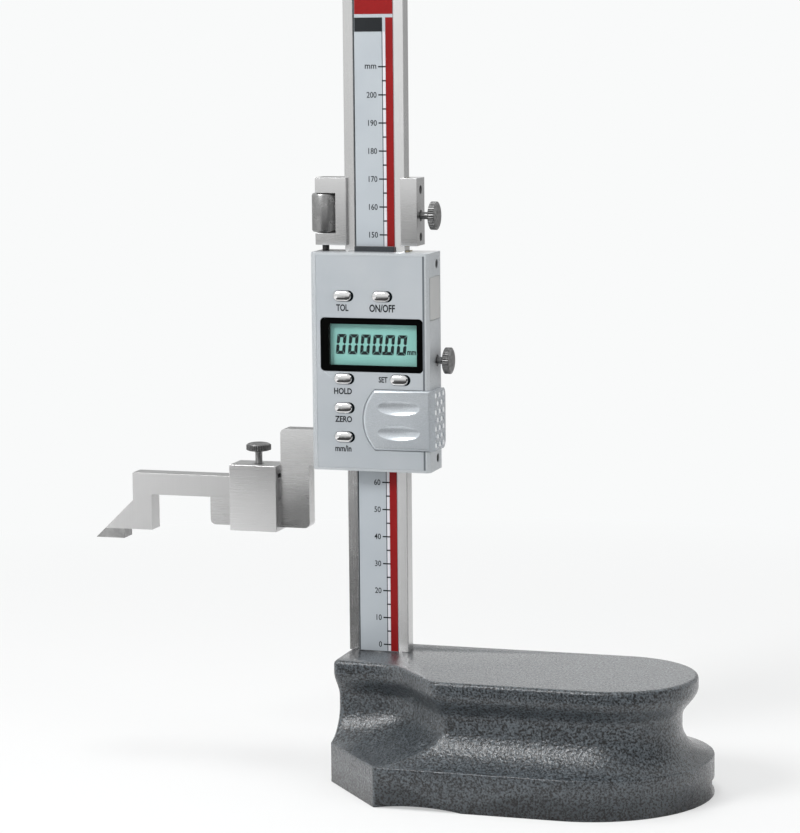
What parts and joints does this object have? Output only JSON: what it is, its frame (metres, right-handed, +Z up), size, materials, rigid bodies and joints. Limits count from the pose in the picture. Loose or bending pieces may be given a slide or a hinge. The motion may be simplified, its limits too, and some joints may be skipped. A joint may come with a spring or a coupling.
{
  "type": "digital height gauge",
  "caption": "Digital height gauge: slider with display on a steel column, fine-adjustment carriage, clamped scriber and a cast base with a hand-grip waist.",
  "frame": {"origin": "on the underside of the base, on the column's axis", "axes": "+Z up the column, +X from the scriber towards the base's round end, -Y towards the user, who faces the display"},
  "size_m": [0.2355, 0.08, 0.36],
  "materials": {
    "cast_paint": "dark grey hammertone paint over cast iron",
    "column_steel": "ground steel with a satin finish",
    "scale_film": "printed film over the scale's electrodes",
    "black_steel": "blackened steel",
    "bright_steel": "turned steel",
    "frame_steel": "satin ground stainless steel",
    "brass": "plain brass",
    "knurled_steel": "dark knurled steel",
    "cover_plastic": "silver-grey plastic with a fine metallic grain",
    "panel_print": "printed silver panel",
    "felt": "dark felt",
    "bezel_black": "gloss black plastic",
    "clear_window": "clear window",
    "lcd_glass": "grey-green display glass",
    "zebra_rubber": "striped conductive rubber",
    "board_green": "green printed board",
    "switch_dome": "black switch bodies",
    "key_chrome": "chromed caps",
    "cell_nickel": "nickel-plated coin cell",
    "contact_gold": "gold-plated spring metal",
    "port_plastic": "warm grey plastic",
    "scriber_steel": "ground steel",
    "carbide": "dark carbide"
  },
  "bodies": {
    "stand": {"base": "cast_paint", "beam": "column_steel", "scale_strip": "scale_film", "beam_screws": "black_steel", "stop_screw": "bright_steel"},
    "carriage": {"carriage": "frame_steel", "carriage_gib": "brass", "carriage_set_screws": "bright_steel"},
    "carriage_pad": {"carriage_lock_pad": "brass"},
    "carriage_screw": {"carriage_lock_screw": "bright_steel"},
    "nut": {"fine_nut": "knurled_steel"},
    "slider": {"slider_frame": "frame_steel", "slider_gib": "brass", "slider_set_screws": "bright_steel", "fine_stud": "black_steel", "front_cover": "cover_plastic", "cover_screws": "black_steel", "face_panel": "panel_print", "wiper_top": "felt", "wiper_bottom": "felt", "lcd_bezel": "bezel_black", "lcd_window": "clear_window", "lcd_module": "lcd_glass", "lcd_connector": "zebra_rubber", "circuit_board": "board_green", "sensor_plate": "board_green", "key_switches": "switch_dome", "coin_cell": "cell_nickel", "cell_contact_front": "contact_gold", "cell_contact_back": "contact_gold", "port_contacts": "contact_gold"},
    "slider_pad": {"slider_lock_pad": "brass"},
    "slider_screw": {"slider_lock_screw": "bright_steel"},
    "battery_lid": {"battery_cover": "cover_plastic"},
    "port_lid": {"port_cover": "port_plastic"},
    "clamp": {"clamp_box": "frame_steel"},
    "clamp_pad": {"clamp_pad": "brass"},
    "clamp_screw": {"clamp_screw": "bright_steel"},
    "scriber": {"scriber_bar": "scriber_steel", "scriber_tip": "carbide"},
    "key_tolerance": {"key_tolerance": "key_chrome"},
    "key_power": {"key_power": "key_chrome"},
    "key_hold": {"key_hold": "key_chrome"},
    "key_set": {"key_set": "key_chrome"},
    "key_zero": {"key_zero": "key_chrome"},
    "key_unit": {"key_unit": "key_chrome"}
  },
  "joints": [
    {"name": "carriage_slide", "type": "slide", "parent": "stand", "child": "carriage", "axis": [0, 0, 1], "range_m": [-0.065, 0.1335]},
    {"name": "fine_nut_turn", "type": "hinge", "parent": "carriage", "child": "nut", "pos_m": [-0.0196, 0, 0.2053], "axis": [0, 0, 1], "range_deg": [-1440, 1008]},
    {"name": "slider_slide", "type": "slide", "parent": "carriage", "child": "slider", "axis": [0, 0, 1], "range_m": [-0.002, 0.0014]},
    {"name": "carriage_pad_slide", "type": "slide", "parent": "carriage", "child": "carriage_pad", "axis": [1, 0, 0], "range_m": [0, 0.0014]},
    {"name": "carriage_lock_turn", "type": "hinge", "parent": "carriage_pad", "child": "carriage_screw", "pos_m": [0.0201, 0, 0.2045], "axis": [1, 0, 0], "range_deg": [0, 720]},
    {"name": "slider_pad_slide", "type": "slide", "parent": "slider", "child": "slider_pad", "axis": [1, 0, 0], "range_m": [0, 0.0014]},
    {"name": "slider_lock_turn", "type": "hinge", "parent": "slider_pad", "child": "slider_screw", "pos_m": [0.025, 0, 0.1524], "axis": [1, 0, 0], "range_deg": [0, 720]},
    {"name": "battery_lid_slide", "type": "slide", "parent": "slider", "child": "battery_lid", "axis": [1, 0, 0], "range_m": [0, 0.028]},
    {"name": "port_lid_slide", "type": "slide", "parent": "slider", "child": "port_lid", "axis": [1, 0, 0], "range_m": [0, 0.01]},
    {"name": "clamp_slide", "type": "slide", "parent": "slider", "child": "clamp", "axis": [-1, 0, 0], "range_m": [0, 0.008]},
    {"name": "scriber_slide", "type": "slide", "parent": "slider", "child": "scriber", "axis": [-1, 0, 0], "range_m": [0, 0.012]},
    {"name": "clamp_pad_slide", "type": "slide", "parent": "clamp", "child": "clamp_pad", "axis": [0, 0, 1], "range_m": [0, 0.0007]},
    {"name": "clamp_turn", "type": "hinge", "parent": "clamp_pad", "child": "clamp_screw", "pos_m": [-0.0467, 0, 0.1172], "axis": [0, 0, 1], "range_deg": [0, 360]},
    {"name": "key_tolerance_press", "type": "slide", "parent": "slider", "child": "key_tolerance", "axis": [0, 1, 0], "range_m": [0, 0.0006], "stiffness_N_per_m": 800},
    {"name": "key_power_press", "type": "slide", "parent": "slider", "child": "key_power", "axis": [0, 1, 0], "range_m": [0, 0.0006], "stiffness_N_per_m": 800},
    {"name": "key_hold_press", "type": "slide", "parent": "slider", "child": "key_hold", "axis": [0, 1, 0], "range_m": [0, 0.0006], "stiffness_N_per_m": 800},
    {"name": "key_set_press", "type": "slide", "parent": "slider", "child": "key_set", "axis": [0, 1, 0], "range_m": [0, 0.0006], "stiffness_N_per_m": 800},
    {"name": "key_zero_press", "type": "slide", "parent": "slider", "child": "key_zero", "axis": [0, 1, 0], "range_m": [0, 0.0006], "stiffness_N_per_m": 800},
    {"name": "key_unit_press", "type": "slide", "parent": "slider", "child": "key_unit", "axis": [0, 1, 0], "range_m": [0, 0.0006], "stiffness_N_per_m": 800}
  ],
  "couplings": [
    {"joint": "fine_nut_turn", "follows": "slider_slide", "rad_per_m": 12566},
    {"joint": "carriage_lock_turn", "follows": "carriage_pad_slide", "rad_per_m": 8976},
    {"joint": "slider_lock_turn", "follows": "slider_pad_slide", "rad_per_m": 8976},
    {"joint": "clamp_turn", "follows": "clamp_pad_slide", "rad_per_m": 8976}
  ]
}
